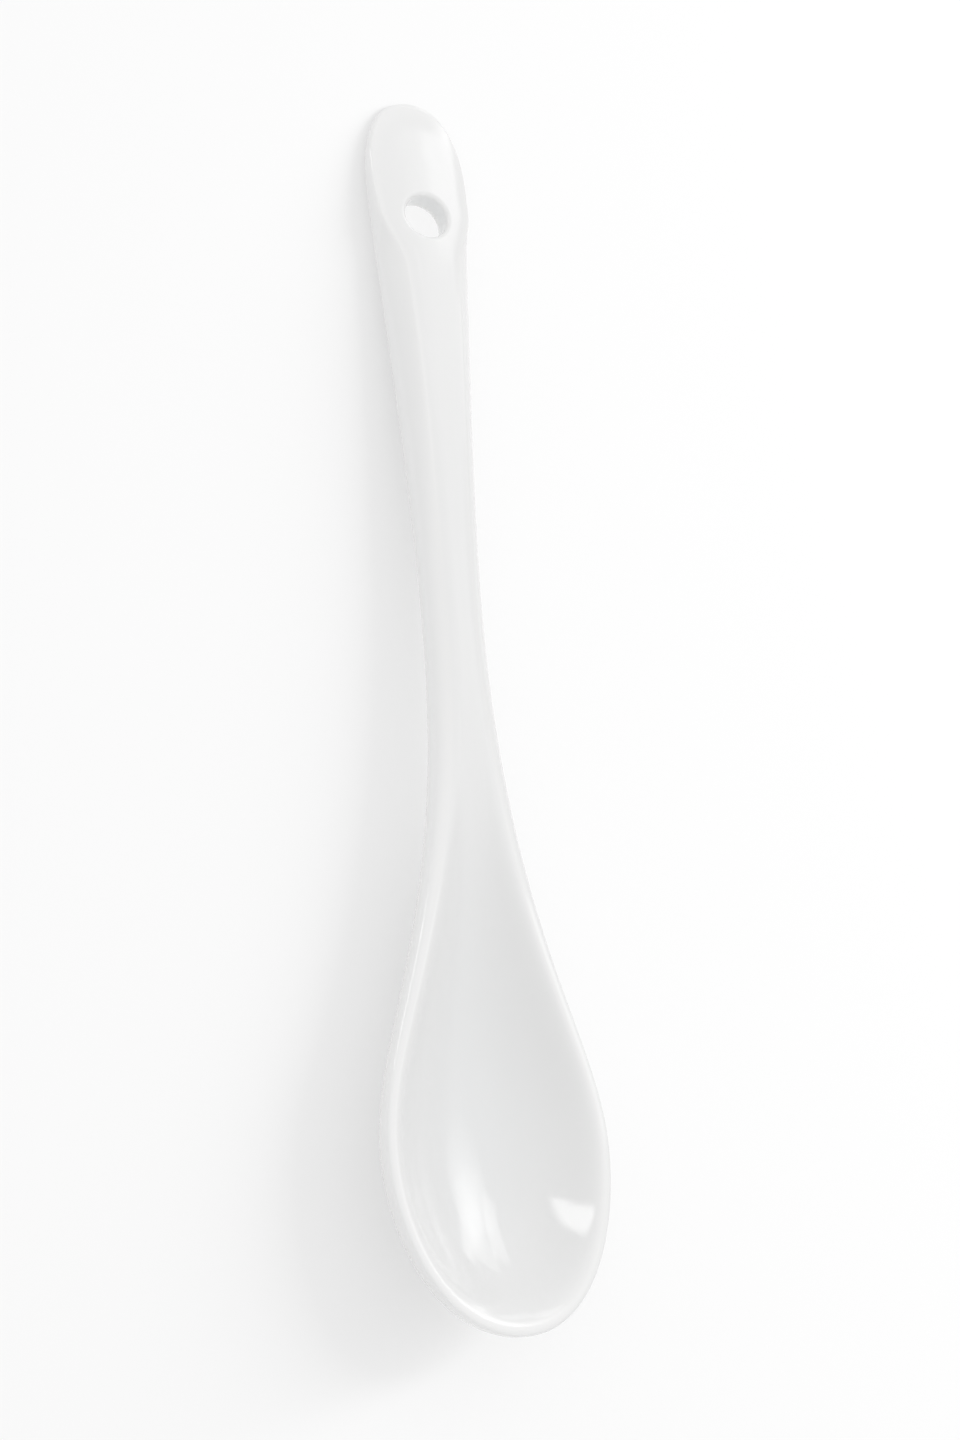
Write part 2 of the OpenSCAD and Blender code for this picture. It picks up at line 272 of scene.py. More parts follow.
@dataclass(frozen=True)
class SpoonForm:
    """Formula of the whole body: an outline, a widest line, and half ribs that run from front to underside.

    A half rib leaves the centre line square to it between the widest places of bowl and handle end, and
    fans out from the centre line round the tip and round the handle end.
    """

    length: float = 135.0
    edge_height: float = 8.8
    edge_fall: float = 0.0715
    tip_rise: float = 1.0
    round_share: float = 0.55
    foot_softness: float = 0.03
    floor_blend: float = 2.4
    blend_from: float = 0.45
    blend_to: float = 0.85
    blend_nodes: int = 9
    outline_samples: int = 2001
    bowl: BowlSizes = BowlSizes()
    neck: NeckSizes = NeckSizes()
    grip: GripSizes = GripSizes()
    end: EndSizes = EndSizes()

    def tip_outline(self, t: Array) -> tuple[Array, Array]:
        """Outline of the bowl tip, a cubic from the tip to the widest place.

        Args:
            t: curve parameter, 0 at the tip and 1 at the widest place.

        Returns:
            Half widths and distances from the tip.
        """
        bowl = self.bowl
        width = cubic(0, bowl.tip_bluntness, bowl.half_width, bowl.half_width, t)
        return width, cubic(0, 0, bowl.widest_at - bowl.side_fullness, bowl.widest_at, t)

    def end_outline(self, t: Array) -> tuple[Array, Array]:
        """Outline of the handle end, a cubic from its widest place to its top.

        Args:
            t: curve parameter, 0 at the widest place and 1 at the top.

        Returns:
            Half widths and distances from the tip.
        """
        end = self.end
        width = cubic(end.half_width, end.half_width, end.bluntness, 0, t)
        return width, cubic(end.widest_at, end.widest_at + end.fullness, self.length, self.length, t)

    def half_width(self, y: Array) -> Array:
        """Half width of the outline between the two widest places.

        Two cubics meet at the neck. Their handle lengths keep the curvature even at the bowl, the neck and
        the handle end: each scales with the root of the width that the curve gains.

        Args:
            y: distances from the tip.

        Returns:
            Half widths, shaped as y.
        """
        bowl, neck, end = self.bowl, self.neck, self.end
        bowl_gain = bowl.half_width - neck.half_width
        end_gain = end.half_width - neck.half_width
        shoulder = bowl.side_fullness * math.sqrt(bowl_gain / (bowl.half_width - bowl.tip_bluntness))
        stem = neck.pull * math.sqrt(end_gain / bowl_gain)
        close = end.fullness * math.sqrt(end_gain / (end.half_width - end.bluntness))
        y_bowl, y_neck, y_end = bowl.widest_at, neck.narrowest_at, end.widest_at
        lower = reach_parameter(y_bowl, y_bowl + shoulder, y_neck - neck.pull, y_neck, y)
        upper = reach_parameter(y_neck, y_neck + stem, y_end - close, y_end, y)
        return np.where(
            y <= y_neck,
            cubic(bowl.half_width, bowl.half_width, neck.half_width, neck.half_width, lower),
            cubic(neck.half_width, neck.half_width, end.half_width, end.half_width, upper),
        )

    def edge_line(self, y: Array) -> Array:
        """Height of the widest line: a straight fall to the handle end, and a square rise at the tip.

        Args:
            y: distances from the tip.

        Returns:
            Heights over the floor, shaped as y.
        """
        bowl = self.bowl
        rise = np.clip((bowl.widest_at - y) / bowl.widest_at, 0, None)
        return self.edge_height - self.edge_fall * (y - bowl.widest_at) + self.tip_rise * rise**2

    def laws(self, y: Array) -> RibLaws:
        """Values that shape the half ribs whose feet are at y: smooth steps to neck, grip and end.

        Args:
            y: distances of the feet from the tip.

        Returns:
            The laws as arrays shaped as y.
        """
        bowl, neck, grip, end = self.bowl, self.neck, self.grip, self.end
        to_neck = ease(bowl.widest_at, neck.narrowest_at, y)
        to_grip = ease(neck.narrowest_at, grip.thickest_at, y)
        to_end = ease(grip.thickest_at, end.widest_at, y)
        to_land = ease(neck.narrowest_at, grip.land_at, y)
        off_land = ease(grip.land_at, grip.land_ends_at, y)

        def along(at_bowl: float, at_neck: float, at_grip: float, at_end: float) -> Array:
            """A value that passes the neck and the grip."""
            rise = at_bowl + (at_neck - at_bowl) * to_neck
            return rise + (at_grip - at_neck) * to_grip + (at_end - at_grip) * to_end

        def by_land(at_bowl: float, at_neck: float, at_land: float, at_end: float) -> Array:
            """A value that passes the neck and differs most where the flat front is narrowest."""
            rise = at_bowl + (at_neck - at_bowl) * to_neck
            return rise + (at_land - at_neck) * to_land + (at_end - at_land) * off_land

        share = self.round_share
        run, under_run = grip.front_run, grip.under_run
        fall = self.end_fall(y)
        front = along(bowl.rim_height, neck.front, grip.front, end.front) - fall
        crown = along(0.0, neck.crown, grip.crown, end.crown)
        low = front + crown - bowl.depth * (1 - ease(bowl.widest_at, bowl.hollow_ends_at, y))
        thick = along(bowl.wall, neck.thickness, grip.thickness, end.thickness) - fall
        return RibLaws(
            inset=by_land(bowl.rim_inset, neck.inset, grip.land_inset, end.inset),
            crease=by_land(bowl.rim_flatness, share, grip.crease_softness, end.crease_softness),
            rounding=by_land(bowl.rim_flatness, share, grip.flank_rounding, end.flank_rounding),
            front=front,
            floor_run=along(bowl.floor_spread, run, run, run),
            rim_run=along(bowl.rim_rounding, run, run, run),
            upright=along(bowl.wall_upright, share, share, share),
            under_run=along(bowl.under_spread, under_run, under_run, under_run),
            crown=crown,
            low=low,
            under=low - thick,
        )

    def end_fall(self, y: Array) -> Array:
        """How far the front has sloped down to the handle end: the slope comes in by a smooth step.

        Args:
            y: distances from the tip.

        Returns:
            Losses of height, shaped as y.
        """
        end = self.end
        length = end.slope_full_at - end.slope_starts_at
        t = np.clip((y - end.slope_starts_at) / length, 0, 1)
        return end.slope * (length * (t**3 - t**4 / 2) + np.clip(y - end.slope_full_at, 0, None))

    def ribs(self, reach: Array, foot: Array, lean: Array, steps: tuple[int, int, int]) -> Array:
        """Half ribs as three cubics: over the front to the crest, round the rim, and back under the body.

        The rim leaves the crest along the front, so the crest has no kink of its own.

        Args:
            reach: distance from each foot to the outline.
            foot: distance of each foot from the tip.
            lean: height that the front gains for each millimetre out.
            steps: points along the front, the rim and the back.

        Returns:
            Array (ribs, points, 2) of distance out and height over the widest line.
        """
        laws = self.laws(foot)
        column = {name: np.asarray(value)[:, None] for name, value in vars(laws).items()}
        inset, front, low, under = (column[name] for name in ("inset", "front", "low", "under"))
        r = reach[:, None]
        crest = r - inset
        on_front = np.linspace(0, 1, steps[0], endpoint=False)[None]
        on_rim = np.linspace(0, 1, steps[1], endpoint=False)[None]
        on_back = np.linspace(0, 1, steps[2] + 1)[None]
        floor_at = column["floor_run"] * crest
        shoulder_at = (1 - column["rim_run"]) * crest
        turn_at = crest + column["crease"] * inset
        tilt = lean[:, None]
        edge = front + tilt * crest
        shoulder = front + column["crown"] + tilt * shoulder_at
        turn = edge + (edge - shoulder) / (crest - shoulder_at) * (turn_at - crest)
        out = np.concatenate(
            [
                cubic(0, floor_at, shoulder_at, crest, on_front),
                cubic(crest, turn_at, r, r, on_rim),
                cubic(r, r, column["under_run"] * r, 0, on_back),
            ],
            axis=1,
        )
        up = np.concatenate(
            [
                cubic(low, low + tilt * floor_at, shoulder, edge, on_front),
                cubic(edge, turn, column["rounding"] * edge, 0, on_rim),
                cubic(0, column["upright"] * under, under, under, on_back),
            ],
            axis=1,
        )
        return np.stack([out, up], axis=-1)

    def polar(self, x: Array, y: Array) -> tuple[Array, Array, Array]:
        """Foot, distance out and outline distance of the half rib that passes a place in plan.

        Between the widest places the foot is straight across. Beyond them it is the widest place itself,
        and the outline distance is read off the outline by its angle.

        Args:
            x, y: places in plan.

        Returns:
            Foot, distance out and reach, shaped as x.
        """
        t = np.linspace(0, 1, self.outline_samples)
        y_bowl, y_end = self.bowl.widest_at, self.end.widest_at
        foot = np.clip(y, y_bowl, y_end)
        side = np.abs(x)
        out = np.hypot(side, y - foot)
        reach = self.half_width(foot)
        tip_x, tip_y = self.tip_outline(t[::-1])
        end_x, end_y = self.end_outline(t)
        tip_angle = np.arctan2(y_bowl - tip_y, tip_x)
        end_angle = np.arctan2(end_y - y_end, end_x)
        turn = np.arctan2(np.abs(y - foot), side)
        reach_tip = np.interp(turn, tip_angle, np.hypot(tip_x, tip_y - y_bowl))
        reach_end = np.interp(turn, end_angle, np.hypot(end_x, end_y - y_end))
        reach = np.where(y < y_bowl, reach_tip, np.where(y > y_end, reach_end, reach))
        return foot, out, reach

    def raw_height(self, x: Array, y: Array, face: Face) -> Array:
        """Height of one face over the floor before it is blended, from its cubic at that distance out.

        Args:
            x, y: places in plan.
            face: which face.

        Returns:
            Heights, shaped as x.
        """
        foot, out, reach = self.polar(x, y)
        laws = self.laws(foot)
        if face is Face.FRONT:
            crest = reach - laws.inset
            floor_at, shoulder_at = laws.floor_run * crest, (1 - laws.rim_run) * crest
            t = reach_parameter(0, floor_at, shoulder_at, crest, np.minimum(out, crest))
            up = cubic(laws.low, laws.low, laws.front + laws.crown, laws.front, t)
            up = up - self.end.slope * np.clip(y - self.end.widest_at, 0, None)
        else:
            t = reach_parameter(0, laws.under_run * reach, reach, reach, np.minimum(out, reach))
            up = cubic(laws.under, laws.under, laws.upright * laws.under, 0, t)
        return up + self.edge_line(y)

    def height(self, x: Array, y: Array, face: Face) -> Array:
        """Height of one face with its curvature evened out along the spoon.

        The face is averaged along y with Gauss weights. The width of the average is full at the centre line
        and nothing at the crest, so the rim and its crease keep their form. The underside is then held over
        the floor by (h + sqrt(h^2 + s^2)) / 2, which grinds the foot flat with a softened edge.

        Args:
            x, y: places in plan.
            face: which face.

        Returns:
            Heights, shaped as x.
        """
        foot, out, reach = self.polar(x, y)
        limit = reach - self.laws(foot).inset if face is Face.FRONT else reach
        width = self.floor_blend * (1 - ease(self.blend_from, self.blend_to, out / limit))
        nodes, weights = np.polynomial.hermite_e.hermegauss(self.blend_nodes)
        total = np.zeros_like(x)
        for node, weight in zip(nodes, weights / weights.sum()):
            total += weight * self.raw_height(x, y + node * width, face)
        if face is Face.BACK:
            total = self.over_floor(total)
        return total

    def over_floor(self, h: Array) -> Array:
        """Heights held over the floor with a softened corner."""
        return (h + np.sqrt(h**2 + self.foot_softness**2)) / 2


class MeshGather:
    """Collects grids of points, their layers and their faces, and makes one closed mesh of them."""

    def __init__(self) -> None:
        """Starts empty."""
        self.points: list[Array] = []
        self.layers: dict[Layer, list[Array]] = {layer: [] for layer in Layer}
        self.faces: list[list[int]] = []
        self.count = 0

    def add(self, grid: Array, layers: dict[Layer, Array]) -> Array:
        """Adds points and returns their numbers.

        Args:
            grid: array (..., 3) of points in millimetres.
            layers: values per point for any of the layers; a missing layer is nought.

        Returns:
            Numbers of the points, shaped as the grid without its last axis.
        """
        shape = grid.shape[:-1]
        size = int(np.prod(shape))
        self.points.append(grid.reshape(-1, 3))
        for layer, store in self.layers.items():
            value = np.broadcast_to(layers.get(layer, 0.0), shape)
            store.append(np.asarray(value, float).reshape(-1))
        numbers = np.arange(self.count, self.count + size).reshape(shape)
        self.count += size
        return numbers

    def quads(self, rows: Array, keep: Array | None = None, closed: bool = False) -> None:
        """Adds the quads between the rows of a grid of point numbers.

        Args:
            rows: point numbers (rows, columns).
            keep: which quads to add, all of them if not given.
            closed: whether the last column joins the first.
        """
        grid = np.concatenate([rows, rows[:, :1]], axis=1) if closed else rows
        a, b = grid[:-1], grid[1:]
        made = np.stack([a[:, :-1], b[:, :-1], b[:, 1:], a[:, 1:]], axis=-1)
        made = made.reshape(-1, 4) if keep is None else made[keep]
        self.faces.extend(made.tolist())

    def triangles(self, pole: int, row: Array) -> None:
        """Adds the triangles between one point and each pair of neighbours in a row."""
        made = np.stack([np.full(len(row) - 1, pole), row[:-1], row[1:]], axis=-1)
        self.faces.extend(made.tolist())

    def build(self, name: str) -> bpy.types.Object:
        """Makes the mesh in metres, turns its faces outwards and smooths its shading.

        Args:
            name: name of the object and its mesh.

        Returns:
            The object, linked to the scene.
        """
        points = np.concatenate(self.points) * MILLIMETRE
        mesh = bpy.data.meshes.new(name)
        mesh.from_pydata(points.tolist(), [], self.faces)
        work = bmesh.new()
        work.from_mesh(mesh)
        bmesh.ops.recalc_face_normals(work, faces=work.faces)
        work.to_mesh(mesh)
        work.free()
        mesh.polygons.foreach_set("use_smooth", np.ones(len(mesh.polygons), bool))
        for layer, store in self.layers.items():
            attribute = mesh.attributes.new(layer.value, "FLOAT", "POINT")
            attribute.data.foreach_set("value", np.concatenate(store).astype(np.float32))
        mesh.update()
        piece = bpy.data.objects.new(name, mesh)
        bpy.context.scene.collection.objects.link(piece)
        return piece


@dataclass(frozen=True)
class HangingHole:
    """Round hole through the handle end with two rounded lips.

    Its axis leans towards the end, by an angle in degrees. Loops are rings of points from the opening in
    one face, over its lip and down the wall, to the other face.
    """

    form: SpoonForm
    radius: float = 2.5
    from_end: float = 14.25
    lean: float = 12.0
    front_lip: float = 0.5
    back_lip: float = 1.5
    lip_fullness: float = 0.6
    patch_loops: int = 7
    lip_loops: int = 9
    wall_loops: int = 8
    lift_steps: int = 12
    lip_pooling: float = 0.35
    wall_pooling: float = 0.9

    @property
    def at(self) -> float:
        """Distance of the hole from the tip."""
        return self.form.length - self.from_end

    def axes(self) -> tuple[Array, Array, Array]:
        """Directions of the hole, whose axis leans in the middle plane of the spoon.

        Returns:
            Right, forward and axis directions.
        """
        lean = math.radians(self.lean)
        right = np.array([1.0, 0.0, 0.0])
        forward = np.array([0.0, math.cos(lean), -math.sin(lean)])
        axis = np.array([0.0, math.sin(lean), math.cos(lean)])
        return right, forward, axis

    def centre(self) -> Array:
        """Middle of the body thickness on the centre line at the hole.

        Returns:
            The point.
        """
        at = np.array([self.at])
        laws = self.form.laws(at)
        height = self.form.edge_line(at) + (laws.low + laws.under) / 2
        return np.array([0.0, self.at, float(height[0])])

    def place(self, u: Array, v: Array, s: Array) -> Array:
        """Points at u to the right, v forward and s along the axis of the hole."""
        right, forward, axis = self.axes()
        return self.centre() + u[..., None] * right + v[..., None] * forward + s[..., None] * axis

    def offsets(self, border: Array) -> tuple[Array, Array]:
        """Offsets of points from the axis.

        Args:
            border: points (count, 3) round an opening.

        Returns:
            Offsets to the right and forward.
        """
        right, forward, _ = self.axes()
        away = border - self.centre()
        return away @ right, away @ forward

    def depth_of_face(self, u: Array, v: Array, face: Face) -> Array:
        """Where along the axis a line beside it meets a face, by repeated correction of its height.

        Args:
            u, v: offsets of the line from the axis.
            face: which face it meets.

        Returns:
            Distances along the axis from the middle, shaped as u.
        """
        rise = self.axes()[2][2]
        s = np.zeros_like(u)
        for _ in range(self.lift_steps):
            point = self.place(u, v, s)
            s = s + (self.form.height(point[..., 0], point[..., 1], face) - point[..., 2]) / rise
        return s

    def loops(self, border: Array, face: Face) -> tuple[Array, Array]:
        """Loops from the border of the opening in a face to the wall of the hole.

        The first loops lie on the face, on straight lines from the border to the circle of the lip. The
        next follow a cubic that leaves along the face and arrives along the wall.

        Args:
            border: points (count, 3) round the opening.
            face: which face the opening is in.

        Returns:
            Points (loops, count, 3), and the place along the axis at which the wall begins.
        """
        u, v = self.offsets(border)
        turn = np.arctan2(v, u)
        cos, sin = np.cos(turn), np.sin(turn)
        round_off = self.front_lip if face is Face.FRONT else self.back_lip
        lip = self.radius + round_off
        share = np.linspace(0, 1, self.patch_loops + 1)[1:, None]
        patch_u = (1 - share) * u + share * lip * cos
        patch_v = (1 - share) * v + share * lip * sin
        patch = self.place(patch_u, patch_v, self.depth_of_face(patch_u, patch_v, face))
        inward = 1.0 if face is Face.BACK else -1.0
        t = np.linspace(0, 1, self.lip_loops + 1)[1:, None]
        held = lip - self.lip_fullness * round_off
        lip_s = self.depth_of_face(lip * cos, lip * sin, face)
        held_s = self.depth_of_face(held * cos, held * sin, face)
        edge_s = self.depth_of_face(self.radius * cos, self.radius * sin, face)
        begin = edge_s + inward * round_off
        before = edge_s + inward * round_off * (1 - self.lip_fullness)
        ring_radius = cubic(lip, held, self.radius, self.radius, t) * np.ones_like(turn)
        ring_s = cubic(lip_s, held_s, before, begin, t)
        return np.concatenate([patch, self.place(ring_radius * cos, ring_radius * sin, ring_s)]), begin

    def wall(self, border: Array, front_at: Array, back_at: Array) -> Array:
        """Loops of the straight wall between the two lips.

        Args:
            border: points round the opening, which give the direction of each wall line.
            front_at, back_at: places along the axis at which the wall begins and ends.

        Returns:
            Points (loops, count, 3) without the two ends.
        """
        to_right, ahead = self.offsets(border)
        turn = np.arctan2(ahead, to_right)
        share = np.linspace(0, 1, self.wall_loops + 2)[1:-1, None]
        s = (1 - share) * front_at + share * back_at
        u = self.radius * np.cos(turn) * np.ones_like(s)
        v = self.radius * np.sin(turn) * np.ones_like(s)
        return self.place(u, v, s)


@dataclass(frozen=True)
class Relief:
    """Fine unevenness of a surface: noise in cells to the metre and octaves, and its depth in metres."""

    scale: float
    detail: float
    depth: float


def opaque(colour: Colour) -> Opaque:
    """A colour with full cover, as colour sockets take it."""
    return (*colour, 1.0)


@dataclass(frozen=True)
class NodeBench:
    """Makes the nodes of one material or world and links them up."""

    tree: bpy.types.NodeTree

    def new(self, kind: str) -> bpy.types.Node:
        """A new node of one of Blender's kinds."""
        return self.tree.nodes.new(kind)

    def link(self, source: Socket, target: Socket) -> None:
        """Links one socket to another."""
        self.tree.links.new(source, target)

    def coordinates(self, place: Place) -> Socket:
        """Coordinates that the other nodes read."""
        return self.new("ShaderNodeTexCoord").outputs[place.value]

    def layer(self, which: Layer) -> Socket:
        """Factor read from a point attribute.

        Args:
            which: the attribute.

        Returns:
            The factor.
        """
        node = self.new("ShaderNodeAttribute")
        node.attribute_name = which.value
        return node.outputs["Fac"]

    def noise(self, place: Socket, scale: float, detail: float) -> Socket:
        """Noise factor from 0 to 1.

        Args:
            place: coordinates that it reads.
            scale: cells of noise to the metre.
            detail: octaves of finer noise.

        Returns:
            The factor.
        """
        node = self.new("ShaderNodeTexNoise")
        node.inputs["Scale"].default_value = scale
        node.inputs["Detail"].default_value = detail
        self.link(place, node.inputs["Vector"])
        return node.outputs["Fac"]

    def bump(
        self, place: Socket, relief: Relief, under: Socket | None = None, strength: Socket | None = None
    ) -> Socket:
        """Normal of a fine unevenness.

        Args:
            place: coordinates that its noise reads.
            relief: the unevenness.
            under: normal of what it lies on, the bare mesh if not given.
            strength: share of it that shows, all of it if not given.

        Returns:
            The normal.
        """
        node = self.new("ShaderNodeBump")
        node.inputs["Distance"].default_value = relief.depth
        self.link(self.noise(place, relief.scale, relief.detail), node.inputs["Height"])
        if under is not None:
            self.link(under, node.inputs["Normal"])
        if strength is not None:
            self.link(strength, node.inputs["Strength"])
        return node.outputs["Normal"]

    def mix(
        self, kind: Mix, factor: Socket, under: Socket | Opaque | float, over: Opaque | float
    ) -> Socket:
        """Number or colour mixed from what is under to a plain one.

        Args:
            kind: whether numbers or colours are mixed.
            factor: 0 shows what is under, and 1 the plain one.
            under: a socket, or a plain number or colour.
            over: the plain number or colour.

        Returns:
            The mixed number or colour.
        """
        data_type, under_at, over_at, result_at = kind.value
        node = self.new("ShaderNodeMix")
        node.data_type = data_type
        self.link(factor, node.inputs["Factor"])
        if isinstance(under, Socket):
            self.link(under, node.inputs[under_at])
        else:
            node.inputs[under_at].default_value = under
        node.inputs[over_at].default_value = over
        return node.outputs[result_at]

    def smooth_step(self, value: Socket, span: Span, at_low: float, at_high: float) -> Socket:
        """Smooth step of a value across a span.

        Args:
            value: the value.
            span: where the step begins and ends.
            at_low, at_high: levels before and after the step.

        Returns:
            The stepped value.
        """
        node = self.new("ShaderNodeMapRange")
        node.interpolation_type = "SMOOTHSTEP"
        levels = (span.low, span.high, at_low, at_high)
        for name, level in zip(("From Min", "From Max", "To Min", "To Max"), levels):
            node.inputs[name].default_value = level
        self.link(value, node.inputs["Value"])
        return node.outputs["Result"]

    def join(self, how: Join, *values: Socket) -> Socket:
        """Product or sum of two or more values, joined in order.

        Args:
            how: product or sum.
            values: the values.

        Returns:
            The joined value.
        """
        total = values[0]
        for value in values[1:]:
            node = self.new("ShaderNodeMath")
            node.operation = how.value
            self.link(total, node.inputs[0])
            self.link(value, node.inputs[1])
            total = node.outputs[0]
        return total

    def inside(self, value: Socket, span: Span) -> Socket:
        """1 inside a span and 0 outside it, with soft ends that straddle its limits.

        Args:
            value: the value.
            span: the span.

        Returns:
            The factor.
        """
        begins = self.smooth_step(value, Span.about(span.low, span.low_blur), 0.0, 1.0)
        ends = self.smooth_step(value, Span.about(span.high, span.high_blur), 1.0, 0.0)
        return self.join(Join.PRODUCT, begins, ends)


@dataclass(frozen=True)
class PorcelainGlaze:
    """White porcelain under a clear glossy glaze.

    The glaze pools in hollows and is wiped off the ground foot. Crests are lighter, partly from glaze drawn
    thinner there and partly by a painted highlight. A fine ripple and a slow waviness break its
    reflections.
    """

    name: str = "glazed_porcelain"
    white: Colour = (0.87, 0.87, 0.867)
    cloud: Colour = (0.86, 0.862, 0.861)
    pooled: Colour = (0.855, 0.862, 0.863)
    # lighter colour on crests: partly thinner glaze, partly a painted highlight
    thin_and_highlight: Colour = (0.91, 0.908, 0.903)
    bare: Colour = (0.74, 0.72, 0.69)
    roughness: float = 0.07
    cloud_roughness: float = 0.11
    thin_roughness: float = 0.16
    bare_roughness: float = 0.62
    index: float = 1.52
    coat: float = 0.35
    coat_roughness: float = 0.03
    glow: float = 0.12
    glow_depth: float = 0.0015
    glow_spread: Colour = (1.0, 1.0, 1.0)
    cloud_scale: float = 45.0
    cloud_detail: float = 3.0
    wave: Relief = Relief(scale=70.0, detail=1.0, depth=0.00007)
    ripple: Relief = Relief(scale=380.0, detail=2.0, depth=0.000012)
    grind: Relief = Relief(scale=2600.0, detail=2.0, depth=0.00002)

    def material(self) -> bpy.types.Material:
        """Builds the node material.

        Returns:
            The material.
        """
        made = bpy.data.materials.new(self.name)
        made.use_nodes = True
        bench = NodeBench(made.node_tree)
        shader = made.node_tree.nodes["Principled BSDF"]
        shader.inputs["IOR"].default_value = self.index
        shader.inputs["Coat Weight"].default_value = self.coat
        shader.inputs["Coat Roughness"].default_value = self.coat_roughness
        shader.inputs["Subsurface Weight"].default_value = self.glow
        shader.inputs["Subsurface Radius"].default_value = self.glow_spread
        shader.inputs["Subsurface Scale"].default_value = self.glow_depth
        place = bench.coordinates(Place.ON_OBJECT)
        clouds = bench.noise(place, self.cloud_scale, self.cloud_detail)
        pooled, thin_and_highlight, bare = (bench.layer(which) for which in (Layer.POOLED, Layer.THIN, Layer.BARE))
        colour = bench.mix(Mix.COLOUR, clouds, opaque(self.white), opaque(self.cloud))
        colour = bench.mix(Mix.COLOUR, pooled, colour, opaque(self.pooled))
        # crests lighter: partly thinner glaze, partly a painted highlight on rim and crease
        colour = bench.mix(Mix.COLOUR, thin_and_highlight, colour, opaque(self.thin_and_highlight))
        colour = bench.mix(Mix.COLOUR, bare, colour, opaque(self.bare))
        bench.link(colour, shader.inputs["Base Color"])
        rough = bench.mix(Mix.NUMBER, clouds, self.roughness, self.cloud_roughness)
        rough = bench.mix(Mix.NUMBER, thin_and_highlight, rough, self.thin_roughness)
        rough = bench.mix(Mix.NUMBER, bare, rough, self.bare_roughness)
        bench.link(rough, shader.inputs["Roughness"])
        normal = bench.bump(place, self.wave)
        normal = bench.bump(place, self.ripple, normal)
        normal = bench.bump(place, self.grind, normal, bare)
        bench.link(normal, shader.inputs["Normal"])
        return made


